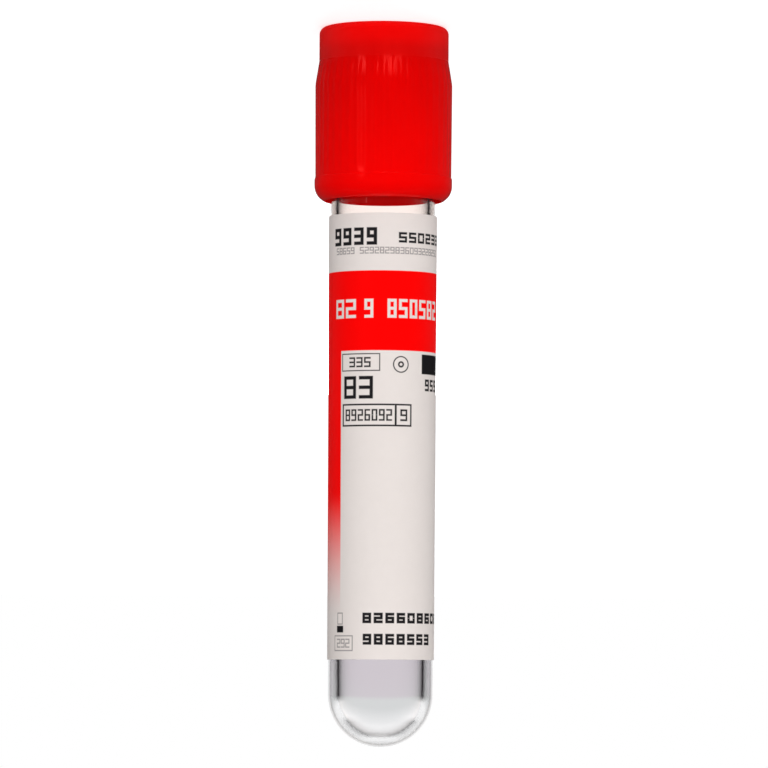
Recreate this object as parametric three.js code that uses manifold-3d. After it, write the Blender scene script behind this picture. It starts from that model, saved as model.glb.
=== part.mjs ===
// Blood collection tube: a clear moulded tube with a round bottom, its wrap-round label, and
// its pull-off closure, a red plastic cap with a rubber stopper inside. Millimetres, +Z up.
// Each piece is made with the cap up, about its own Z axis, and z = 0 at the round bottom's tip.
// The closed tube then stands on its head: the round bottom can't carry it, the flat cap can.
import * as THREE from 'three';
import { mergeVertices } from 'three/addons/utils/BufferGeometryUtils.js';
import Module from 'manifold-3d';

// ---- Tube: outside and bore widen a little from the round bottom to the mouth ----
const tubeLength = 75;
const domeDiameter = 12.5;
const mouthDiameter = 12.8;
const domeWall = 1.17;
const mouthWall = 0.78;
const baseThickness = 1.15;
const rimRounding = 0.25;

// ---- Label: one sticker wrapped round the tube, with a clear strip between its edges ----
const labelRise = 10.4; // its lower edge, above the tip of the tube
const labelHeight = 53.2;
const labelThickness = 0.1;
const clearStrip = 6.5;
const glueLine = 0.03;

// ---- Stopper: a rubber plug, a flange that seats on the rim, and a neck up to the cap ----
const plugLength = 7.5;
const plugTipChamfer = 0.5;
const sealRelief = 0.25; // depth of the waist between the plug's two sealing bands
const sealBand = 2.2; // height of each sealing band
const plugHollowDiameter = 6.4;
const plugHollowTaper = 0.3;
const flangeThickness = 2.8;
const septumThickness = 5.2;
const septumRecess = 4.6; // depth of the septum's face below the cap's top
const recessDiameter = 7.4;
const recessFlare = 0.25;
const stopperEdge = 0.3;

// ---- Cap: top opening, neck, flare, fluted grip, and a bead round the foot ----
const capHeight = 21.2;
const skirtOverlap = 9.7; // how far the skirt reaches down past the tube's rim
const neckHeight = 4.1;
const neckWall = 1.34;
const flareHeight = 2.8;
const flareStep = 0.46; // the grip stands this much proud of the neck
const gripWall = 1.3;
const gripDraft = 0.06; // the grip is this much slimmer in radius at its foot
const beadHeight = 3;
const beadLip = 0.1; // the bead stands this much proud of the foot of the grip
const beadEdge = 0.3; // height over which the bead's top edge rounds back to the grip
const beadRounding = 2.05;
const fluteCount = 48;
const fluteDepth = 0.05;
const fluteRunOut = 1.2; // the flutes rise to the surface over this height at both ends
const capTopThickness = 1.5;
const topRounding = 0.85;
const openingDiameter = 8.6;
const openingEdge = 0.3;
const skirtLeadIn = 0.15;

// ---- Clearances ----
const plugFit = 0.05; // stopper's bands to the bore, on the radius
const seatGap = 0.05; // faces that seat on each other
const flangeFit = 0.1; // stopper's flange to the skirt, on the radius
const neckFit = 0.1; // stopper's neck to the cap's chamber, on the radius
const skirtFit = 0.55; // cap's skirt to the outside of the tube, on the radius

// ---- Facets ----
const roundSegments = 48;
const flutedSegments = 2 * fluteCount; // a crest and a groove for each flute
const cutMargin = 1; // how far a cutting body runs past what it cuts

// ---- Sizes that follow ----
const domeRadius = domeDiameter / 2;
const boreDomeRadius = domeRadius - domeWall;
const mouthRadius = mouthDiameter / 2;
const mouthBoreRadius = mouthRadius - mouthWall;
const flangeFoot = tubeLength + seatGap;
const flangeTop = flangeFoot + flangeThickness;
const plugFoot = tubeLength - plugLength;
const skirtBore = mouthRadius + skirtFit;
const flangeRadius = skirtBore - flangeFit;
const gripRadius = skirtBore + gripWall;
const gripFootRadius = gripRadius - gripDraft;
const beadRadius = gripFootRadius + beadLip;
const neckRadius = gripRadius - flareStep;
const chamberRadius = neckRadius - neckWall;
const stopperNeckRadius = chamberRadius - neckFit;
const capFoot = tubeLength - skirtOverlap;
const capTop = capFoot + capHeight;
const beadTop = capFoot + beadHeight;
const neckFoot = capTop - neckHeight;
const gripTop = neckFoot - flareHeight;
const fluteFoot = beadTop + fluteRunOut;
const fluteHead = neckFoot - fluteRunOut;
const shoulder = flangeTop + seatGap;
const chamberTop = capTop - capTopThickness;
const stopperTop = chamberTop - seatGap;
const septumTop = capTop - septumRecess;
const hollowTop = septumTop - septumThickness;

const wasm = await Module();
wasm.setup();

// Radii of the tube's outside and of its bore at a height above the tip.
function alongWall(atDome, atMouth, z) {
  return THREE.MathUtils.mapLinear(z, domeRadius, tubeLength, atDome, atMouth);
}
const outerRadius = (z) => alongWall(domeRadius, mouthRadius, z);
const boreRadius = (z) => alongWall(boreDomeRadius, mouthBoreRadius, z);

// Radius of the cap at a height: straight from the bead to the grip's top, then in to the neck.
function gripRadiusAt(z) {
  if (z < gripTop) {
    return THREE.MathUtils.mapLinear(z, beadTop, gripTop, gripFootRadius, gripRadius);
  }
  return THREE.MathUtils.mapLinear(z, gripTop, neckFoot, gripRadius, neckRadius);
}

// Points [r, z] of an elliptical arc about (r0, z0); angles in degrees from the +r direction.
function arc(r0, z0, radius, height, from, to, steps) {
  const points = [];
  for (let i = 0; i <= steps; i += 1) {
    const angle = THREE.MathUtils.degToRad(from + ((to - from) * i) / steps);
    points.push([r0 + radius * Math.cos(angle), z0 + height * Math.sin(angle)]);
  }
  return points;
}

// One closed mesh with shared corners, without the slivers that a lathe leaves on its axis.
function welded(geometry) {
  const bare = geometry.clone();
  bare.deleteAttribute('normal');
  bare.deleteAttribute('uv');
  const mesh = mergeVertices(bare);
  const corners = mesh.index.array;
  const kept = [];
  for (let i = 0; i < corners.length; i += 3) {
    const [a, b, c] = corners.slice(i, i + 3);
    if (a !== b && b !== c && c !== a) kept.push(a, b, c);
  }
  mesh.setIndex(kept);
  return mesh;
}

// A body of revolution about Z, with a column of its corners at the front, towards -Y.
function turned(outline, segments, shape = () => {}) {
  const profile = outline.map(([r, z]) => new THREE.Vector2(r, z));
  const geometry = new THREE.LatheGeometry(profile, segments);
  shape(geometry.attributes.position, profile.length);
  return welded(geometry.rotateX(Math.PI / 2));
}

function toSolid(geometry) {
  return new wasm.Manifold(new wasm.Mesh({
    numProp: 3,
    vertProperties: new Float32Array(geometry.attributes.position.array),
    triVerts: new Uint32Array(geometry.index.array),
  }));
}

function toGeometry(solid) {
  const { vertProperties, triVerts } = solid.getMesh();
  const geometry = new THREE.BufferGeometry();
  geometry.setAttribute('position', new THREE.BufferAttribute(vertProperties, 3));
  geometry.setIndex(new THREE.BufferAttribute(triVerts, 1));
  return geometry;
}

function cut(body, tool) {
  return toGeometry(toSolid(body).subtract(toSolid(tool)));
}

function piece(name, geometry, material) {
  geometry.computeVertexNormals();
  const mesh = new THREE.Mesh(geometry, new THREE.MeshStandardMaterial(material));
  mesh.name = name;
  return mesh;
}

// ---- Tube: a hemisphere and a tapered wall outside, the same inside, and a rounded rim ----
function makeTube() {
  const boreDomeHeight = domeRadius - baseThickness;
  const outline = [
    ...arc(0, domeRadius, domeRadius, domeRadius, -90, 0, 10),
    ...arc(mouthRadius - rimRounding, tubeLength - rimRounding, rimRounding, rimRounding, 0, 90, 2),
    ...arc(mouthBoreRadius + rimRounding, tubeLength - rimRounding, rimRounding, rimRounding, 90, 180, 2),
    ...arc(0, domeRadius, boreDomeRadius, boreDomeHeight, 0, -90, 8),
  ];
  return piece('tube', turned(outline, roundSegments), {
    color: 0xe6eaec, roughness: 0.05, metalness: 0, transparent: true, opacity: 0.35,
  });
}

// ---- Label: a thin sleeve on the tube, cut away along the clear strip at the back ----
function makeLabel() {
  const labelTop = labelRise + labelHeight;
  const innerFoot = outerRadius(labelRise) + glueLine;
  const innerTop = outerRadius(labelTop) + glueLine;
  const sleeve = turned([
    [innerFoot, labelRise],
    [innerFoot + labelThickness, labelRise],
    [innerTop + labelThickness, labelTop],
    [innerTop, labelTop],
    [innerFoot, labelRise],
  ], roundSegments);

  const halfAngle = clearStrip / (innerFoot + innerTop);
  const reach = (2 * mouthDiameter) / Math.cos(halfAngle);
  const wedge = new THREE.Shape([
    new THREE.Vector2(0, 0),
    new THREE.Vector2(reach * Math.sin(halfAngle), reach * Math.cos(halfAngle)),
    new THREE.Vector2(-reach * Math.sin(halfAngle), reach * Math.cos(halfAngle)),
  ]);
  const depth = labelHeight + 2 * cutMargin;
  const strip = welded(new THREE.ExtrudeGeometry(wedge, { depth, bevelEnabled: false }));
  strip.translate(0, 0, labelRise - cutMargin);
  return piece('label', cut(sleeve, strip), { color: 0xd6d4d0, roughness: 0.6, metalness: 0 });
}

// ---- Stopper: hollow plug with two sealing bands, flange, neck, and a recessed septum ----
function makeStopper() {
  const band = (z) => boreRadius(z) - plugFit;
  const lowerBandTop = plugFoot + plugTipChamfer + sealBand;
  const upperBandFoot = tubeLength - sealBand;
  const hollowMouth = plugHollowDiameter / 2;
  const hollowEnd = hollowMouth - plugHollowTaper;
  const recessRadius = recessDiameter / 2;
  const outline = [
    [0, hollowTop],
    ...arc(0, hollowTop - hollowEnd, hollowEnd, hollowEnd, 90, 0, 5).slice(1),
    [hollowMouth, plugFoot],
    [band(plugFoot) - plugTipChamfer, plugFoot],
    [band(plugFoot + plugTipChamfer), plugFoot + plugTipChamfer],
    [band(lowerBandTop), lowerBandTop],
    [band(lowerBandTop + sealRelief) - sealRelief, lowerBandTop + sealRelief],
    [band(upperBandFoot - sealRelief) - sealRelief, upperBandFoot - sealRelief],
    [band(upperBandFoot), upperBandFoot],
    [band(tubeLength - rimRounding), tubeLength - rimRounding],
    [band(tubeLength - rimRounding), flangeFoot],
    [flangeRadius - stopperEdge, flangeFoot],
    [flangeRadius, flangeFoot + stopperEdge],
    [flangeRadius, flangeTop - stopperEdge],
    [flangeRadius - stopperEdge, flangeTop],
    [stopperNeckRadius, flangeTop],
    [stopperNeckRadius, stopperTop - stopperEdge],
    [stopperNeckRadius - stopperEdge, stopperTop],
    [recessRadius + recessFlare, stopperTop],
    [recessRadius, stopperTop - recessFlare],
    [recessRadius, septumTop + recessFlare],
    [recessRadius - recessFlare, septumTop],
    [0, septumTop],
  ];
  return piece('stopper', turned(outline, roundSegments), {
    color: 0x8c1712, roughness: 0.65, metalness: 0,
  });
}

// ---- Cap: a shell with a fluted grip, open below for the tube and above for the needle ----
function makeCap() {
  const rowsBelowGrip = arc(beadRadius - beadRounding, capFoot + beadRounding, beadRounding,
    beadRounding, -90, 0, 6);
  rowsBelowGrip.unshift([0, capFoot]);
  rowsBelowGrip.push(...arc(gripFootRadius, beadTop - beadEdge, beadLip, beadEdge, 0, 60, 2));
  const gripRows = [beadTop, fluteFoot, gripTop, fluteHead, neckFoot].map((z) => [gripRadiusAt(z), z]);
  const outline = [
    ...rowsBelowGrip,
    ...gripRows,
    ...arc(neckRadius - topRounding, capTop - topRounding, topRounding, topRounding, 0, 90, 4),
    [0, capTop],
  ];

  // Every other column of the grip sinks by the flutes' depth, which runs out at both ends.
  const cutFlutes = (position, rowCount) => {
    for (let column = 1; column < flutedSegments; column += 2) {
      for (let row = 1; row < gripRows.length - 1; row += 1) {
        const i = column * rowCount + rowsBelowGrip.length + row;
        const scale = 1 - fluteDepth / gripRows[row][0];
        position.setX(i, position.getX(i) * scale);
        position.setZ(i, position.getZ(i) * scale);
      }
    }
  };
  const body = turned(outline, flutedSegments, cutFlutes);

  const openingRadius = openingDiameter / 2;
  const cavity = turned([
    [0, capFoot - cutMargin],
    [skirtBore + skirtLeadIn, capFoot - cutMargin],
    [skirtBore + skirtLeadIn, capFoot],
    [skirtBore, capFoot + 2 * skirtLeadIn],
    [skirtBore, shoulder],
    [chamberRadius, shoulder],
    [chamberRadius, chamberTop],
    [openingRadius, chamberTop],
    [openingRadius, capTop - openingEdge],
    [openingRadius + openingEdge, capTop],
    [openingRadius + openingEdge, capTop + cutMargin],
    [0, capTop + cutMargin],
  ], roundSegments);
  return piece('cap', cut(body, cavity), { color: 0xd60f08, roughness: 0.28, metalness: 0 });
}

// ---- The closed tube, stood on the cap's flat top, with the label's front towards -Y ----
const closure = new THREE.Group();
closure.add(makeCap(), makeStopper());

const bloodCollectionTube = new THREE.Group();
bloodCollectionTube.name = 'blood_collection_tube';
bloodCollectionTube.add(makeTube(), makeLabel(), closure);
bloodCollectionTube.rotation.y = Math.PI;
bloodCollectionTube.position.z = capTop;

export default bloodCollectionTube;
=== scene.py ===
import math

import bpy
from mathutils import Matrix, Vector


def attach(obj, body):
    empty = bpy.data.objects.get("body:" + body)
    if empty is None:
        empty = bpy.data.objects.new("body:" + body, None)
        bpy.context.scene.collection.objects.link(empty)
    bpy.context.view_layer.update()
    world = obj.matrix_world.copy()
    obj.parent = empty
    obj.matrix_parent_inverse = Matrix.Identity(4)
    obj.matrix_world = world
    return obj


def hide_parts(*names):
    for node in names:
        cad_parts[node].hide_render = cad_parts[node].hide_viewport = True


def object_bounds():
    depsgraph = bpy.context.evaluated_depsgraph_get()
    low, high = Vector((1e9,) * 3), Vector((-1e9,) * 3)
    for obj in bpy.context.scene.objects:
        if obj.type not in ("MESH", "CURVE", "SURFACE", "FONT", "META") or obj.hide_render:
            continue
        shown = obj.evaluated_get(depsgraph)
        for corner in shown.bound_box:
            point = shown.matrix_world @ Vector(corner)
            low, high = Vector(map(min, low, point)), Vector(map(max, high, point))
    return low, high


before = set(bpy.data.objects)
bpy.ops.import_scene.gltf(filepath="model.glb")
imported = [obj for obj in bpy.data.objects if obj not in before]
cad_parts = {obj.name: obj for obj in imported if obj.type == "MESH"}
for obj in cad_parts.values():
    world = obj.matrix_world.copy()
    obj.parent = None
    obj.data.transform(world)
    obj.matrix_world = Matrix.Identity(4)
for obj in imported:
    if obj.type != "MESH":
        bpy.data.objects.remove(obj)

# Looks of the blood collection tube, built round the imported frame. Sizes are in millimetres
# in the tube's own frame: z is the height above the tip of the round bottom with the cap up,
# x runs to the right of the label as it is read, and -y comes out of the label's front.
MM = 0.001
cad_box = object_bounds()

# ---- Sizes, as in the CAD model ----
CAP_TOP = cad_box[1].z / MM
TUBE_LENGTH = 75.0
DOME_RADIUS = 6.25
MOUTH_RADIUS = 6.4
BORE_DOME_RADIUS = 5.08
BORE_MOUTH_RADIUS = 5.62
BASE_THICKNESS = 1.15
RIM_ROUNDING = 0.25

LABEL_FOOT = 10.4
LABEL_TOP = 63.6
LABEL_GAP = 0.03
LABEL_THICKNESS = 0.1
CLEAR_STRIP = 6.5

CAP_FOOT = 65.3
BEAD_RADIUS = 8.29
BEAD_TOP = 68.3
BEAD_EDGE = 0.3
BEAD_ROUNDING = 2.05
GRIP_FOOT_RADIUS = 8.19
GRIP_RADIUS = 8.25
GRIP_TOP = 79.6
NECK_RADIUS = 7.79
NECK_FOOT = 82.4
TOP_ROUNDING = 0.85
FLUTES = 48
FLUTE_DEPTH = 0.05
FLUTE_RUN_OUT = 1.2
SKIRT_LEAD_IN = 0.15
SKIRT_BORE = 6.95
CHAMBER_RADIUS = 6.45
CHAMBER_TOP = 85.0
OPENING_RADIUS = 4.3

PLUG_FOOT = 67.5
FLANGE_FOOT = 75.05
FLANGE_TOP = 77.85
FLANGE_RADIUS = 6.85
STOPPER_NECK_RADIUS = 6.35
STOPPER_TOP = 84.95
SEPTUM_TOP = 81.9
HOLLOW_TOP = 76.7
RECESS_RADIUS = 3.7
SEAT_GAP = 0.05

# ---- Camera, floor and light ----
CAMERA_DISTANCE = 640.0
CAMERA_HEIGHT = 7.02
CAMERA_ASIDE = 0.23
CAMERA_TILT = 3.262
CAMERA_ROLL = 0.335
SENSOR_WIDTH = 36.0
LENS = 250.1

TUBE_FRAME = Matrix.Translation((0, 0, CAP_TOP * MM)) @ Matrix.Rotation(math.pi, 4, "Y")


# ---- Mesh ----
def arc(r0, z0, radius, height, start, end, steps):
    """Points (r, z) of an elliptical arc about (r0, z0), angles in degrees from +r."""
    angles = [math.radians(start + (end - start) * i / steps) for i in range(steps + 1)]
    return [(r0 + radius * math.cos(a), z0 + height * math.sin(a)) for a in angles]


def along_wall(at_dome, at_mouth, z):
    """A radius of the tube's wall at a height, between the dome and the mouth."""
    share = (z - DOME_RADIUS) / (TUBE_LENGTH - DOME_RADIUS)
    return at_dome + (at_mouth - at_dome) * share


def revolve(name, profile, columns, radius=lambda r, z, angle: r, sharp=30, first=0.0, last=360.0):
    """A closed body of revolution. A profile that leaves the axis ends there; any other is a ring."""
    whole = last - first >= 360.0
    steps = columns if whole else columns + 1
    angles = [math.radians(first + (last - first) * i / columns) for i in range(steps)]
    verts, rings = [], []
    for r, z in profile:
        if r == 0:
            verts.append((0.0, 0.0, z * MM))
            rings.append([len(verts) - 1] * steps)
            continue
        rings.append(range(len(verts), len(verts) + steps))
        for a in angles:
            rr = radius(r, z, a) * MM
            verts.append((rr * math.sin(a), -rr * math.cos(a), z * MM))
    pairs = list(zip(rings, rings[1:]))
    if profile[0][0] != 0:
        pairs.append((rings[-1], rings[0]))
    faces = []
    for low, high in pairs:
        for i in range(columns):
            j = (i + 1) % steps
            corners = [low[i], low[j], high[j], high[i]]
            face = [v for k, v in enumerate(corners) if v != corners[k - 1]]
            if len(face) > 2:
                faces.append(face)
    if not whole:
        faces.append([ring[0] for ring in rings])
        faces.append([ring[-1] for ring in reversed(rings)])
    mesh = bpy.data.meshes.new(name)
    mesh.from_pydata(verts, [], faces)
    mesh.validate()
    mesh.shade_smooth()
    mesh.set_sharp_from_angle(angle=math.radians(sharp))
    piece = bpy.data.objects.new(name, mesh)
    bpy.context.scene.collection.objects.link(piece)
    piece.matrix_world = TUBE_FRAME
    return piece


# ---- Material nodes ----
class Nodes:
    """A node tree, with short calls to add to it."""

    def __init__(self, owner):
        owner.use_nodes = True
        self.owner = owner
        self.tree = owner.node_tree

    def feed(self, socket, value):
        if isinstance(value, bpy.types.NodeSocket):
            self.tree.links.new(value, socket)
        else:
            socket.default_value = value

    def add(self, kind, inputs=None, **settings):
        node = self.tree.nodes.new("ShaderNode" + kind)
        for key, value in settings.items():
            setattr(node, key, value)
        for key, value in (inputs or {}).items():
            self.feed(node.inputs[key], value)
        return node

    def math(self, operation, *values, clamp=False):
        node = self.add("Math", operation=operation, use_clamp=clamp)
        for socket, value in zip(node.inputs, values):
            self.feed(socket, value)
        return node.outputs[0]

    def shade(self, kind, **inputs):
        """Set the named shader's inputs, with _ for each space."""
        for key, value in inputs.items():
            self.feed(self.tree.nodes[kind].inputs[key.replace("_", " ")], value)

    def surface(self, **inputs):
        self.shade("Principled BSDF", **inputs)

    def position(self):
        """x, y and z in the tube's frame, in millimetres."""
        point = self.add("TexCoord").outputs["Object"]
        scaled = self.add("VectorMath", {0: point, 1: (1 / MM,) * 3}, operation="MULTIPLY")
        return self.add("SeparateXYZ", {0: scaled.outputs[0]}).outputs

    def length(self, x, y):
        squares = [self.math("MULTIPLY", x, x), self.math("MULTIPLY", y, y)]
        return self.math("SQRT", self.math("ADD", *squares))

    def noise(self, scale, detail=3.0, roughness=0.5, stretch=(1, 1, 1)):
        point = self.add("TexCoord").outputs["Object"]
        placed = self.add("Mapping", {"Vector": point, "Scale": tuple(stretch)})
        return self.add(
            "TexNoise",
            {"Vector": placed.outputs[0], "Scale": scale, "Detail": detail, "Roughness": roughness},
        ).outputs["Fac"]

    def span(self, value, low, high, to_low, to_high, smooth=False):
        node = self.add(
            "MapRange",
            {"Value": value, "From Min": low, "From Max": high, "To Min": to_low, "To Max": to_high},
            interpolation_type="SMOOTHSTEP" if smooth else "LINEAR",
        )
        return node.outputs["Result"]

    def mix(self, factor, a, b):
        """Mix two colours. The node has sockets for each kind of data: 6, 7 and 2 are the colours'."""
        node = self.add("Mix", {"Factor": factor, 6: a, 7: b}, data_type="RGBA")
        return node.outputs[2]

    def grey(self, level):
        return (level, level, level, 1)

    def blend(self, factor, a, b):
        """Mix two shaders."""
        return self.add("MixShader", {0: factor, 1: a, 2: b}).outputs[0]

    def bump(self, height, depth, strength=1.0):
        node = self.add("Bump", {"Strength": strength, "Distance": depth * MM, "Height": height})
        return node.outputs[0]


# ---- Label print: fields of colour and plain shapes, in mm round the label and up it ----
PRINT_RADIUS = 6.48
INK_EDGE = 0.09
RED_INK = (0.99, 0.0, 0.0, 1)
BLACK_INK = (0.012, 0.011, 0.013, 1)
GREY_INK = (0.12, 0.11, 0.115, 1)
GREY_COVER = 0.75
PAPER_SHINE = 0.2
RED_SHINE = 0.03


class Print:
    """Masks of printed shapes, 1 where there is ink."""

    def __init__(self, nodes):
        self.n = nodes
        x, y, z = nodes.position()
        angle = nodes.math("ARCTAN2", x, nodes.math("MULTIPLY", y, -1.0))
        self.s = nodes.math("MULTIPLY", angle, PRINT_RADIUS)
        self.z = z

    def ink(self, distance):
        """1 inside, 0 outside, from a signed distance in mm."""
        return self.n.math("MULTIPLY_ADD", distance, -1 / INK_EDGE, 0.5, clamp=True)

    def box(self, across, along, half_width, half_height):
        m = self.n.math
        return m(
            "MAXIMUM",
            m("SUBTRACT", m("ABSOLUTE", across), half_width),
            m("SUBTRACT", m("ABSOLUTE", along), half_height),
        )

    def away(self, left, foot, right, top):
        """Signed distance to a rectangle."""
        m = self.n.math
        return self.box(
            m("SUBTRACT", self.s, (left + right) / 2),
            m("SUBTRACT", self.z, (foot + top) / 2),
            (right - left) / 2,
            (top - foot) / 2,
        )

    def field(self, left, foot, right, top):
        return self.ink(self.away(left, foot, right, top))

    def line(self, distance, width):
        """A line of this width that follows a shape's edge."""
        m = self.n.math
        return self.ink(m("SUBTRACT", m("ABSOLUTE", distance), width / 2))

    def frame(self, left, foot, right, top, width):
        return self.line(self.away(left, foot, right, top), width)

    def ring(self, s, z, radius, width):
        m = self.n.math
        away = self.n.length(m("SUBTRACT", self.s, s), m("SUBTRACT", self.z, z))
        return self.line(m("SUBTRACT", away, radius), width)

    def chance(self, place, seed):
        """A number from 0 to 1 for each place of a row."""
        where = self.n.math("ADD", place, seed)
        return self.n.add("TexWhiteNoise", {"W": where}, noise_dimensions="1D").outputs["Value"]

    def left_out_upright(self, across, along, pick):
        """1 where a figure has no upright. The seven picks give 2 3 9 5 6 8 0 in turn, and each of the
        four uprights is left out between two of them."""
        m = self.n.math
        upper = m("GREATER_THAN", along, 0.0)
        right_side = m("GREATER_THAN", across, 0.0)
        lower = m("SUBTRACT", 1.0, upper)
        up_right = m("MULTIPLY", upper, right_side)
        low_right = m("MULTIPLY", lower, right_side)
        low_left = m("SUBTRACT", lower, low_right)
        up_left = m("SUBTRACT", upper, up_right)
        first = m("MULTIPLY_ADD", up_right, 3.0, low_left)
        last = m("MULTIPLY_ADD", up_left, 2.0, low_right)
        last = m("MULTIPLY_ADD", low_left, 4.0, last)
        last = m("MULTIPLY_ADD", up_right, 5.0, last)
        return m("MULTIPLY", m("GREATER_THAN", pick, first), m("LESS_THAN", pick, last))

    def figure(self, across, along, half_width, half_height, stroke, pick):
        """One plain number drawn with straight bars. Only the last pick, 0, has no middle bar."""
        m = self.n.math
        half_stroke = stroke / 2
        above_middle = m("ABSOLUTE", along)
        uprights = self.box(
            m("SUBTRACT", m("ABSOLUTE", across), half_width - half_stroke),
            m("SUBTRACT", above_middle, half_height / 2),
            half_stroke,
            half_height / 2,
        )
        from_end = m("SUBTRACT", above_middle, half_height - half_stroke)
        ends = self.box(across, from_end, half_width, half_stroke)
        middle = self.box(across, along, half_width, half_stroke)
        kept = m("SUBTRACT", 1.0, self.left_out_upright(across, along, pick))
        return self.together(
            m("MULTIPLY", self.ink(uprights), kept),
            self.ink(ends),
            m("MULTIPLY", self.ink(middle), m("LESS_THAN", pick, 6.0)),
        )

    def digits(self, left, foot, right, top, pitch, stroke, seed, gaps=0.0):
        """A row of plain numbers picked by chance. gaps is the share of places that stay empty."""
        m = self.n.math
        half_width = pitch * 0.5 - stroke * 0.45
        places = m("DIVIDE", m("SUBTRACT", self.s, left), pitch)
        place = m("FLOOR", places)
        across = m("MULTIPLY", m("SUBTRACT", m("SUBTRACT", places, place), 0.5), pitch)
        along = m("SUBTRACT", self.z, (foot + top) / 2)
        pick = m("MULTIPLY", self.chance(place, seed), 7.0)
        figure = self.figure(across, along, half_width, (top - foot) / 2, stroke, pick)
        kept = m("GREATER_THAN", self.chance(place, seed + 0.5), gaps)
        limits = self.field(left, foot - 1, right, top + 1)
        return m("MULTIPLY", m("MULTIPLY", figure, kept), limits)

    def together(self, *masks):
        whole = masks[0]
        for mask in masks[1:]:
            whole = self.n.math("MAXIMUM", whole, mask)
        return whole


def red_print(p):
    """The red band, and the stripe below it that fades downwards."""
    n = p.n
    band_foot, band_top = 47.15, 56.7
    stripe_edge, stripe_full, stripe_gone = -5.55, 30.5, 15.0
    past_label = 30
    band = p.field(-past_label, band_foot, past_label, band_top)
    fade = n.span(p.z, stripe_gone, stripe_full, 0.0, 1.0, smooth=True)
    stripe = p.field(-past_label, LABEL_FOOT - 1, stripe_edge, band_top - 1)
    return p.together(band, n.math("MULTIPLY", stripe, fade))


def knocked_out_print(p):
    """The pale numbers on the red band."""
    foot, top = 51.05, 53.3
    return p.together(
        p.digits(-6.75, foot, -3.15, top, pitch=1.8, stroke=0.36, seed=3.0),
        p.digits(-2.35, foot, 10.25, top, pitch=1.4, stroke=0.34, seed=11.0, gaps=0.12),
    )


def black_print(p):
    """Black shapes and numbers: left, foot, right and top of each, in mm."""
    heading = p.together(
        p.digits(-7.1, 59.75, -0.5, 61.85, pitch=1.65, stroke=0.42, seed=21.0),
        p.digits(1.8, 60.05, 9.6, 61.3, pitch=1.3, stroke=0.28, seed=35.0),
    )
    marks_below_band = p.together(
        p.frame(-5.3, 44.75, -0.3, 46.75, width=0.12),
        p.digits(-4.3, 45.15, -1.3, 46.35, pitch=1.0, stroke=0.2, seed=40.0),
        p.ring(2.3, 45.5, radius=0.93, width=0.14),
        p.ring(2.3, 45.5, radius=0.28, width=0.2),
        p.field(5.3, 44.45, 9.8, 46.8),
        p.digits(5.8, 42.45, 9.1, 43.85, pitch=1.1, stroke=0.28, seed=47.0),
        p.digits(-5.2, 41.4, -0.9, 44.1, pitch=2.15, stroke=0.42, seed=50.0),
    )
    divided_box = p.together(
        p.frame(-5.15, 38.2, 3.65, 40.7, width=0.2),
        p.field(1.55, 38.2, 1.8, 40.7),
        p.digits(-4.85, 38.75, 1.31, 40.15, pitch=0.88, stroke=0.2, seed=54.0),
        p.digits(2.15, 38.75, 3.25, 40.15, pitch=1.1, stroke=0.22, seed=61.0),
    )
    rows_at_foot = p.together(
        p.digits(-2.4, 14.7, 10.2, 15.95, pitch=1.4, stroke=0.34, seed=70.0),
        p.digits(-2.35, 12.15, 7.31, 13.45, pitch=1.38, stroke=0.34, seed=83.0),
        p.field(-6.15, 13.6, -5.0, 14.4),
    )
    return p.together(heading, marks_below_band, divided_box, rows_at_foot)


def grey_print(p):
    """Fine print, and the small boxes at the label's foot."""
    return p.together(
        p.digits(-6.6, 58.7, 8.8, 59.5, pitch=0.62, stroke=0.12, seed=92.0, gaps=0.12),
        p.frame(-6.0, 14.6, -5.15, 15.9, width=0.12),
        p.frame(-6.6, 11.45, -3.6, 13.2, width=0.12),
        p.digits(-6.2, 11.8, -3.95, 12.85, pitch=0.75, stroke=0.13, seed=99.0),
    )


def label_material():
    """Printed paper. The red coat is less glossy than the bare paper."""
    n = Nodes(bpy.data.materials.new("label_print"))
    p = Print(n)
    paper = n.mix(n.noise(900.0, 4.0, 0.6), (0.755, 0.695, 0.665, 1), (0.785, 0.725, 0.695, 1))
    red_coat = n.math("MULTIPLY", red_print(p), n.math("SUBTRACT", 1.0, knocked_out_print(p)))
    colour = n.mix(red_coat, paper, RED_INK)
    colour = n.mix(n.math("MULTIPLY", grey_print(p), GREY_COVER), colour, GREY_INK)
    colour = n.mix(black_print(p), colour, BLACK_INK)
    gloss = n.span(n.noise(350.0, 3.0), 0.3, 0.7, 0.42, 0.52)
    relief = n.math("ADD", n.noise(2500.0, 3.0, 0.6), n.math("MULTIPLY", n.noise(90.0, 2.0), 2.0))
    n.surface(Base_Color=colour, Roughness=gloss, Normal=n.bump(relief, 0.006, 0.6))
    n.surface(Specular_IOR_Level=n.math("MULTIPLY_ADD", red_coat, RED_SHINE - PAPER_SHINE, PAPER_SHINE))
    return n.owner


def label_back_material():
    """The glued side of the label, which shows through the clear tube."""
    n = Nodes(bpy.data.materials.new("label_back"))
    paper = n.mix(n.noise(900.0, 4.0, 0.6), (0.8, 0.79, 0.78, 1), (0.86, 0.85, 0.84, 1))
    gloss = n.span(n.noise(350.0, 3.0), 0.3, 0.7, 0.5, 0.62)
    n.surface(Base_Color=paper, Roughness=gloss, Normal=n.bump(n.noise(2500.0, 3.0, 0.6), 0.006, 0.6))
    n.surface(Specular_IOR_Level=PAPER_SHINE)
    return n.owner


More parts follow.
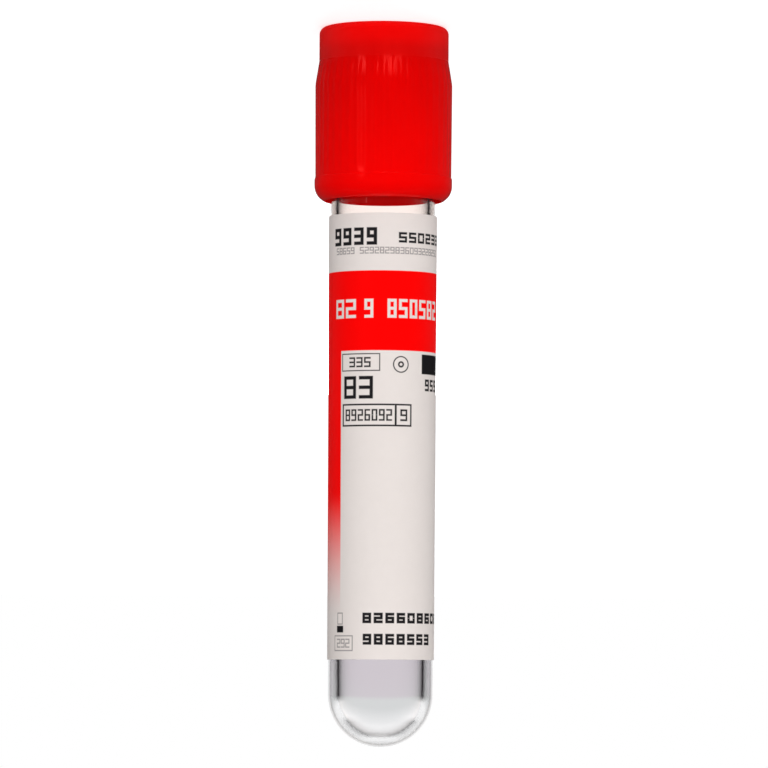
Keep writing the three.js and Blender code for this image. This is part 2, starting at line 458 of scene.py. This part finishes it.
# ---- Clear plastic: painted shade, dark lines mixed into the bore near the critical angle ----
CLEAR = (0.98, 0.98, 0.985, 1)
# The colour of the painted shade on the bore.
BORE_PAINTED_SHADE = (0.03, 0.026, 0.03, 1)
CRITICAL_FACING = 0.222
CRITICAL_WIDTH = 0.043
BORE_SHADE = 0.98
BORE_SHADE_FOOT = (5.45, 6.1)
BORE_SHADE_BETWEEN = 0.05
DOME_SHADE = 0.55
DOME_SHADE_TOP = (3.3, 3.9)
DOME_SHADE_FROM_AXIS = (2.0, 3.0)
TIP_SHADE = 0.1
TIP_SHADE_RADIUS = (1.4, 1.8)
TIP_SHADE_TOP = (1.8, 2.0)
EDGE_CLEARNESS = 0.85


def bore_shade(n, inner_side):
    """Painted shade on the bore near the critical angle, seen through the wall along the straight wall
    and round the dome; the same dark is mixed in faintly at its tip."""
    x, y, z = n.position()
    from_axis = n.length(x, y)
    facing = n.add("LayerWeight", {"Blend": 0.5}).outputs["Facing"]
    from_critical = n.math("ABSOLUTE", n.math("SUBTRACT", facing, CRITICAL_FACING))
    falloff = n.math("EXPONENT", n.math("DIVIDE", from_critical, -CRITICAL_WIDTH))
    near_critical = n.math("MINIMUM", n.math("MULTIPLY", falloff, 1.12), 1.0)
    in_dome = n.span(z, *DOME_SHADE_TOP, DOME_SHADE, 0.0)
    clear_of_axis = n.span(from_axis, *DOME_SHADE_FROM_AXIS, 0.0, 1.0, smooth=True)
    straight = n.span(z, *BORE_SHADE_FOOT, BORE_SHADE_BETWEEN, BORE_SHADE)
    level = n.math("ADD", straight, n.math("MULTIPLY", in_dome, clear_of_axis))
    ring = n.math("MULTIPLY", n.math("MULTIPLY", near_critical, inner_side), level)
    near_axis = n.span(from_axis, *TIP_SHADE_RADIUS, TIP_SHADE, 0.0)
    tip = n.math("MULTIPLY", near_axis, n.span(z, *TIP_SHADE_TOP, 1.0, 0.0))
    return n.math("MAXIMUM", ring, tip)


def clear_plastic(name, outer_shine, inner_shine, bore=False):
    """Clear moulded plastic. The shines are those of its outer side and of its inner reflections."""
    n = Nodes(bpy.data.materials.new(name))
    gloss = n.span(n.noise(60.0, 3.0, stretch=(1, 1, 0.25)), 0.35, 0.65, 0.0, 0.035)
    flow = n.bump(n.noise(140.0, 2.0, stretch=(1, 1, 0.15)), 0.004, 0.5)
    inner_side = n.add("NewGeometry").outputs["Backfacing"]
    n.surface(Base_Color=CLEAR, Roughness=gloss, Normal=flow, IOR=1.575, Transmission_Weight=1.0)
    n.surface(Specular_Tint=n.mix(inner_side, n.grey(outer_shine), n.grey(inner_shine)))
    shader = n.tree.nodes["Principled BSDF"].outputs[0]
    see_through = n.add("LightPath").outputs["Is Shadow Ray"]
    if bore:
        # Painted shade: a dark diffuse is mixed into the clear bore where it looks dark through the wall.
        dark = n.add("BsdfDiffuse", {"Color": BORE_PAINTED_SHADE}).outputs[0]
        shader = n.blend(bore_shade(n, inner_side), shader, dark)
    else:
        grazing = n.add("LayerWeight", {"Blend": 0.5}).outputs["Facing"]
        clear_edge = n.span(grazing, 0.64, 0.8, 0.0, EDGE_CLEARNESS)
        see_through = n.math("MAXIMUM", see_through, clear_edge)
    straight_through = n.add("BsdfTransparent", {"Color": n.grey(0.98)}).outputs[0]
    both = n.blend(see_through, shader, straight_through)
    n.feed(n.tree.nodes["Material Output"].inputs["Surface"], both)
    return n.owner


# ---- Cap plastic ----
FULL_RED = 0.985
# Painted shade and painted light: the outside red is darkened towards the neck and lightened near the top
# rim, in place of how light falls on the cap.
NECK_RED_PAINTED_SHADE = 0.71
RIM_PAINTED_LIGHT = 0.15
OTHER_PIGMENT = 0.001
CAP_SHINE = 0.4


def cap_material():
    """Translucent red plastic. Its red is darkened towards the neck as painted shade and lightened again
    at the rim as painted light, on the outside only; the inside has no gloss, and the neck is more matt
    than the grip."""
    n = Nodes(bpy.data.materials.new("cap_plastic"))
    x, y, height = n.position()
    clouds = n.span(n.noise(160.0, 4.0), 0.3, 0.7, -0.02, 0.02)
    inside = n.span(n.length(x, y), SKIRT_BORE + 0.1, SKIRT_BORE + 0.25, 1.0, 0.0)
    # Painted shade: the red is darker towards the neck.
    depth = n.span(height, BEAD_TOP, NECK_FOOT, FULL_RED, NECK_RED_PAINTED_SHADE)
    # Painted light: the red is lighter near the top rim.
    rim = n.span(height, CAP_TOP - 3.4, CAP_TOP - 1.6, 0.0, RIM_PAINTED_LIGHT, smooth=True)
    outside_red = n.math("ADD", n.math("ADD", depth, rim), clouds)
    # The inside keeps the full red, without the painted shade and light.
    red = n.math("MINIMUM", n.math("MAXIMUM", outside_red, inside), FULL_RED)
    pigment = n.add("CombineColor", {0: red, 1: OTHER_PIGMENT, 2: OTHER_PIGMENT}).outputs[0]
    neck = n.span(height, NECK_FOOT - 0.4, NECK_FOOT + 0.2, 0.0, 1.0)
    gloss = n.math("MULTIPLY_ADD", neck, 0.3, n.span(n.noise(700.0, 3.0), 0.3, 0.7, 0.10, 0.14))
    shine = n.math("MULTIPLY_ADD", inside, -CAP_SHINE, CAP_SHINE)
    skin = n.bump(n.noise(3200.0, 3.0, 0.65), 0.0015, 0.5)
    n.surface(Base_Color=pigment, Roughness=gloss, Normal=skin)
    n.surface(Specular_IOR_Level=shine, Specular_Tint=(1.0, 0.07, 0.06, 1))
    n.surface(Subsurface_Weight=0.5, Subsurface_Radius=(1.0, 0.02, 0.02), Subsurface_Scale=0.0017)
    return n.owner


def rubber_material():
    """Dull dark red rubber with a fine grain."""
    n = Nodes(bpy.data.materials.new("stopper_rubber"))
    tone = n.mix(n.noise(400.0, 4.0, 0.6), (0.23, 0.012, 0.010, 1), (0.31, 0.018, 0.014, 1))
    gloss = n.span(n.noise(900.0, 3.0), 0.3, 0.7, 0.55, 0.72)
    skin = n.bump(n.noise(2600.0, 4.0, 0.7), 0.01, 0.7)
    n.surface(Base_Color=tone, Roughness=gloss, Normal=skin)
    return n.owner


# ---- Pieces ----
def make_tube():
    """One wall, turned: outside from the tip up to the rim, then the bore down to the base."""
    rows = range(12, 72, 6)
    profile = (
        [(0, 0)]
        + arc(0, DOME_RADIUS, DOME_RADIUS, DOME_RADIUS, -90, 0, 40)[1:]
        + [(along_wall(DOME_RADIUS, MOUTH_RADIUS, z), z) for z in rows]
        + arc(MOUTH_RADIUS - RIM_ROUNDING, TUBE_LENGTH - RIM_ROUNDING,
              RIM_ROUNDING, RIM_ROUNDING, 0, 90, 6)
        + arc(BORE_MOUTH_RADIUS + RIM_ROUNDING, TUBE_LENGTH - RIM_ROUNDING,
              RIM_ROUNDING, RIM_ROUNDING, 90, 180, 6)
        + [(along_wall(BORE_DOME_RADIUS, BORE_MOUTH_RADIUS, z), z) for z in reversed(rows)]
        + arc(0, DOME_RADIUS, BORE_DOME_RADIUS, DOME_RADIUS - BASE_THICKNESS, 0, -90, 36)[:-1]
        + [(0, BASE_THICKNESS)]
    )
    tube = revolve("clear_tube", profile, 192)
    tube.data.materials.append(clear_plastic("clear_outside", outer_shine=0.3, inner_shine=0.03))
    tube.data.materials.append(clear_plastic("clear_bore", outer_shine=0.05, inner_shine=0.04, bore=True))
    middle = (DOME_RADIUS + BORE_DOME_RADIUS) / 2
    for face in tube.data.polygons:
        x, y, z = face.center / MM
        wall = along_wall(middle, (MOUTH_RADIUS + BORE_MOUTH_RADIUS) / 2, max(z, DOME_RADIUS))
        reach = math.hypot(x, y, min(z - DOME_RADIUS, 0.0))
        face.material_index = 1 if reach < wall and z < TUBE_LENGTH - RIM_ROUNDING else 0
    return tube


def make_label():
    """A thin sheet round the tube, with a clear strip left between its edges at the back."""
    foot = along_wall(DOME_RADIUS, MOUTH_RADIUS, LABEL_FOOT) + LABEL_GAP
    top = along_wall(DOME_RADIUS, MOUTH_RADIUS, LABEL_TOP) + LABEL_GAP
    half_strip = math.degrees(CLEAR_STRIP / (foot + top))
    profile = [
        (foot, LABEL_FOOT),
        (foot + LABEL_THICKNESS, LABEL_FOOT),
        (top + LABEL_THICKNESS, LABEL_TOP),
        (top, LABEL_TOP),
    ]
    label = revolve("wrapped_label", profile, 160, first=half_strip - 180, last=180 - half_strip)
    label.data.materials.append(label_material())
    label.data.materials.append(label_back_material())
    for face in label.data.polygons:
        x, y, z = face.center
        outwards = face.normal.x * x + face.normal.y * y
        faces_tube = outwards < -0.5 * math.hypot(x, y)
        face.material_index = 1 if faces_tube else 0
    return label


def make_cap():
    """The shell of the cap: bead, fluted grip, flare and neck outside, chamber and skirt inside."""
    opening_edge = 0.3
    shoulder = FLANGE_TOP + SEAT_GAP
    corner = 0.2
    row_step = 2.0

    def grip_radius(z):
        if z < GRIP_TOP:
            share = (z - BEAD_TOP) / (GRIP_TOP - BEAD_TOP)
            return GRIP_FOOT_RADIUS + (GRIP_RADIUS - GRIP_FOOT_RADIUS) * share
        share = (z - GRIP_TOP) / (NECK_FOOT - GRIP_TOP)
        return GRIP_RADIUS + (NECK_RADIUS - GRIP_RADIUS) * share

    lip = SKIRT_BORE + SKIRT_LEAD_IN - BEAD_RADIUS + BEAD_ROUNDING
    lowest = math.degrees(math.asin(lip / BEAD_ROUNDING))
    fluted_rows = [BEAD_TOP + FLUTE_RUN_OUT * i / 5 for i in range(6)]
    fluted_rows += [BEAD_TOP + FLUTE_RUN_OUT + row_step * i for i in range(1, 5)]
    fluted_rows += [GRIP_TOP - corner, GRIP_TOP + corner]
    fluted_rows += [NECK_FOOT - FLUTE_RUN_OUT * i / 4 for i in range(4, 0, -1)]
    profile = (
        arc(BEAD_RADIUS - BEAD_ROUNDING, CAP_FOOT + BEAD_ROUNDING,
            BEAD_ROUNDING, BEAD_ROUNDING, lowest - 90, 0, 16)
        + arc(GRIP_FOOT_RADIUS, BEAD_TOP - BEAD_EDGE, BEAD_RADIUS - GRIP_FOOT_RADIUS, BEAD_EDGE, 0, 75, 5)
        + [(grip_radius(z), z) for z in fluted_rows]
        + [(NECK_RADIUS, NECK_FOOT)]
        + arc(NECK_RADIUS - TOP_ROUNDING, CAP_TOP - TOP_ROUNDING, TOP_ROUNDING, TOP_ROUNDING, 0, 90, 12)
        + arc(OPENING_RADIUS + opening_edge, CAP_TOP - opening_edge,
              opening_edge, opening_edge, 90, 180, 5)
        + [(OPENING_RADIUS, CHAMBER_TOP), (CHAMBER_RADIUS, CHAMBER_TOP),
           (CHAMBER_RADIUS, shoulder), (SKIRT_BORE, shoulder),
           (SKIRT_BORE, CAP_FOOT + 2 * SKIRT_LEAD_IN)]
    )

    def fluted(r, z, angle):
        if r < NECK_RADIUS or not BEAD_TOP < z < NECK_FOOT:
            return r
        run_out = min(1.0, (z - BEAD_TOP) / FLUTE_RUN_OUT, (NECK_FOOT - z) / FLUTE_RUN_OUT)
        return r - FLUTE_DEPTH * run_out * (0.5 - 0.5 * math.cos(FLUTES * angle))

    cap = revolve("fluted_cap", profile, FLUTES * 8, radius=fluted, sharp=40)
    cap.data.materials.append(cap_material())
    return cap


def make_stopper():
    """The rubber stopper: a hollow plug with two sealing bands, flange, neck and a recessed septum."""
    fit = 0.05
    relief = 0.25
    band = 2.2
    chamfer = 0.5
    edge = 0.3
    bevel = 0.25
    hollow_end = 2.9
    hollow_mouth = 3.2
    mouth_edge = 0.1
    low_band_top = PLUG_FOOT + chamfer + band
    high_band_foot = TUBE_LENGTH - band
    rim_foot = TUBE_LENGTH - RIM_ROUNDING

    def bore(z):
        return along_wall(BORE_DOME_RADIUS, BORE_MOUTH_RADIUS, z) - fit

    profile = (
        [(0, HOLLOW_TOP)]
        + arc(0, HOLLOW_TOP - hollow_end, hollow_end, hollow_end, 90, 0, 16)[1:]
        + [(hollow_mouth, PLUG_FOOT + mouth_edge), (hollow_mouth + mouth_edge, PLUG_FOOT)]
        + [(bore(PLUG_FOOT) - chamfer, PLUG_FOOT), (bore(PLUG_FOOT + chamfer), PLUG_FOOT + chamfer)]
        + [(bore(low_band_top), low_band_top)]
        + [(bore(low_band_top + relief) - relief, low_band_top + relief)]
        + [(bore(high_band_foot - relief) - relief, high_band_foot - relief)]
        + [(bore(high_band_foot), high_band_foot)]
        + [(bore(rim_foot), rim_foot), (bore(rim_foot), FLANGE_FOOT)]
        + arc(FLANGE_RADIUS - edge, FLANGE_FOOT + edge, edge, edge, -90, 0, 5)
        + arc(FLANGE_RADIUS - edge, FLANGE_TOP - edge, edge, edge, 0, 90, 5)
        + [(STOPPER_NECK_RADIUS, FLANGE_TOP)]
        + arc(STOPPER_NECK_RADIUS - edge, STOPPER_TOP - edge, edge, edge, 0, 90, 5)
        + arc(RECESS_RADIUS + bevel, STOPPER_TOP - bevel, bevel, bevel, 90, 180, 5)
        + arc(RECESS_RADIUS - bevel, SEPTUM_TOP + bevel, bevel, bevel, 0, -90, 5)
        + [(0, SEPTUM_TOP)]
    )
    stopper = revolve("rubber_stopper", profile, 128)
    stopper.data.materials.append(rubber_material())
    return stopper


def dress(piece, body, node):
    """Hang a piece on its body in place of its CAD node."""
    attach(piece, body)
    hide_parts(node)


dress(make_tube(), "tube", "tube")
dress(make_label(), "tube", "label")
dress(make_cap(), "closure", "cap")
dress(make_stopper(), "closure", "stopper")


# ---- Stage: what each kind of light path sees of the room ----
AMBIENT = 0.33
ROOM_IN_GLOSS = 0.05
FLOOR_IN_GLOSS = 0.1
FLOOR_LIFT = 0.46
FLOOR_GLOW = 0.66
FAR_FLOOR_GLOW = 0.85
FLOOR_HALF = 4.0
STRIP_LIFT = 0.0005
FLOOR_THROUGH_PLASTIC = (1.01, 0.87, 0.8, 1)
HORIZON_THROUGH_PLASTIC = (0.66, 0.61, 0.65, 1)
LOW_SKY_THROUGH_PLASTIC = (0.70, 0.71, 0.71, 1)
WHITE = (1, 1, 1, 1)
HORIZON_FADE = (0.004, 0.02)
SKY_FADE = (0.05, 0.18)


def make_floor():
    """A pale floor that looks white to the camera and sends soft light up to the tube."""
    n = Nodes(bpy.data.materials.new("floor_white"))
    path = n.add("LightPath").outputs
    surface = n.add("NewGeometry").outputs["Position"]
    away = n.add("SeparateXYZ", {0: surface}).outputs[1]
    seen = n.math("MULTIPLY", path["Is Camera Ray"], n.span(away, 0.0, 1.5, FLOOR_GLOW, FAR_FLOOR_GLOW))
    lift = n.math("MULTIPLY", path["Is Diffuse Ray"], FLOOR_LIFT)
    glow = n.math("MAXIMUM", n.math("MAXIMUM", seen, lift), path["Is Transmission Ray"])
    tint = n.mix(path["Is Transmission Ray"], WHITE, FLOOR_THROUGH_PLASTIC)
    speckle = n.mix(n.noise(40.0), n.grey(0.79), n.grey(0.81))
    unseen = n.math("MAXIMUM", path["Is Glossy Ray"], path["Is Transmission Ray"])
    base = n.mix(unseen, speckle, n.grey(FLOOR_IN_GLOSS))
    n.surface(Base_Color=base, Roughness=0.9, Specular_IOR_Level=0.0)
    n.surface(Emission_Color=tint, Emission_Strength=glow)
    mesh = bpy.data.meshes.new("floor")
    corners = [(-1, -1), (1, -1), (1, 1), (-1, 1)]
    mesh.from_pydata([(x * FLOOR_HALF, y * FLOOR_HALF, 0) for x, y in corners], [], [(0, 1, 2, 3)])
    floor = bpy.data.objects.new("floor", mesh)
    floor.data.materials.append(n.owner)
    bpy.context.scene.collection.objects.link(floor)


def make_world():
    """A white backdrop, greyer at the horizon through clear plastic, and a dim room for gloss."""
    world = bpy.data.worlds.new("studio")
    bpy.context.scene.world = world
    n = Nodes(world)
    rise = n.add("SeparateXYZ", {0: n.add("TexCoord").outputs["Generated"]}).outputs[2]
    above_horizon = n.span(rise, *HORIZON_FADE, 0.0, 1.0)
    low = n.mix(above_horizon, HORIZON_THROUGH_PLASTIC, LOW_SKY_THROUGH_PLASTIC)
    backdrop = n.mix(n.span(rise, *SKY_FADE, 0.0, 1.0), low, WHITE)
    path = n.add("LightPath").outputs
    in_gloss = n.math("MULTIPLY", path["Is Glossy Ray"], ROOM_IN_GLOSS)
    in_shade = n.math("MULTIPLY", path["Is Diffuse Ray"], AMBIENT)
    straight = n.math("MAXIMUM", path["Is Camera Ray"], path["Is Transmission Ray"])
    level = n.math("MAXIMUM", straight, n.math("MAXIMUM", in_gloss, in_shade))
    colour = n.mix(path["Is Transmission Ray"], WHITE, backdrop)
    n.shade("Background", Color=colour, Strength=level)


def add_light(name, width, height, power):
    data = bpy.data.lights.new(name, "AREA")
    data.shape = "RECTANGLE"
    data.size, data.size_y = width, height
    data.energy = power
    light = bpy.data.objects.new(name, data)
    bpy.context.scene.collection.objects.link(light)
    light.visible_camera = False
    light.visible_transmission = False
    return light


def make_softbox(name, azimuth, rise, distance, width, height, power):
    """A softbox that faces the tube. Azimuth is to the right of the camera's side, in degrees."""
    light = add_light(name, width, height, power)
    light.visible_glossy = False
    a, e = math.radians(azimuth), math.radians(rise)
    away = Vector((math.sin(a) * math.cos(e), -math.cos(a) * math.cos(e), -math.sin(e)))
    aim = Vector((0, 0, CAP_TOP / 2 * MM))
    place = TUBE_FRAME @ (aim + away * distance)
    light.location = place
    light.rotation_euler = (TUBE_FRAME @ aim - place).to_track_quat("-Z", "Y").to_euler()


def make_low_strip(name, azimuth, near, far, width, power):
    """A strip of light that lies on the floor and points away from the cap, for its glints."""
    light = add_light(name, width, far - near, power)
    light.visible_diffuse = False
    middle = (near + far) / 2
    a = math.radians(azimuth)
    height = CAP_TOP * MM - STRIP_LIFT
    place = TUBE_FRAME @ Vector((math.sin(a) * middle, -math.cos(a) * middle, height))
    light.location = place
    light.rotation_euler = (math.pi, 0, math.atan2(place.y, place.x) - math.pi / 2)


def make_overhead(name, rise, distance, width, depth, power):
    """A lamp over the tube that is seen in gloss alone, for the bright line on the cap's lip."""
    light = add_light(name, width, depth, power)
    light.visible_diffuse = False
    e = math.radians(rise)
    aim = TUBE_FRAME @ Vector((0, 0, CAP_FOOT * MM))
    place = TUBE_FRAME @ Vector((0, -math.cos(e) * distance, CAP_FOOT * MM - math.sin(e) * distance))
    light.location = place
    light.rotation_euler = (aim - place).to_track_quat("-Z", "Y").to_euler()


def make_camera():
    """The camera fitted to the photograph, rolled to show the cap at the top."""
    data = bpy.data.cameras.new("camera")
    data.sensor_width = SENSOR_WIDTH
    data.lens = LENS
    data.clip_start, data.clip_end = 0.01, 20.0
    camera = bpy.data.objects.new("camera", data)
    bpy.context.scene.collection.objects.link(camera)
    tilt = math.radians(CAMERA_TILT)
    turn = Matrix((
        (1, 0, 0, CAMERA_ASIDE * MM),
        (0, -math.sin(tilt), -math.cos(tilt), -CAMERA_DISTANCE * MM),
        (0, math.cos(tilt), -math.sin(tilt), CAMERA_HEIGHT * MM),
        (0, 0, 0, 1),
    ))
    camera.matrix_world = TUBE_FRAME @ turn @ Matrix.Rotation(math.radians(CAMERA_ROLL), 4, "Z")
    bpy.context.scene.camera = camera


make_floor()
make_world()
make_softbox("softbox_left", azimuth=-36, rise=4, distance=0.7, width=0.15, height=0.5, power=0.68)
make_softbox("softbox_right", azimuth=16, rise=6, distance=0.9, width=0.5, height=0.5, power=4.8)
make_softbox("softbox_back", azimuth=176, rise=4, distance=0.8, width=0.4, height=0.5, power=6.8)
make_low_strip("streak_strip", azimuth=-36, near=0.065, far=0.25, width=0.012, power=0.032)
for name, azimuth, width, power in [
    ("flare_strip_left", -34, 0.0025, 0.0003),
    ("flare_strip_centre", 3, 0.003, 0.0004),
    ("flare_strip_right", 22, 0.003, 0.0003),
]:
    make_low_strip(name, azimuth, near=0.0165, far=0.0235, width=width, power=power)
make_overhead("lip_light", rise=79, distance=0.5, width=1.4, depth=0.12, power=0.14)
make_camera()
bpy.context.scene.view_settings.view_transform = "Standard"
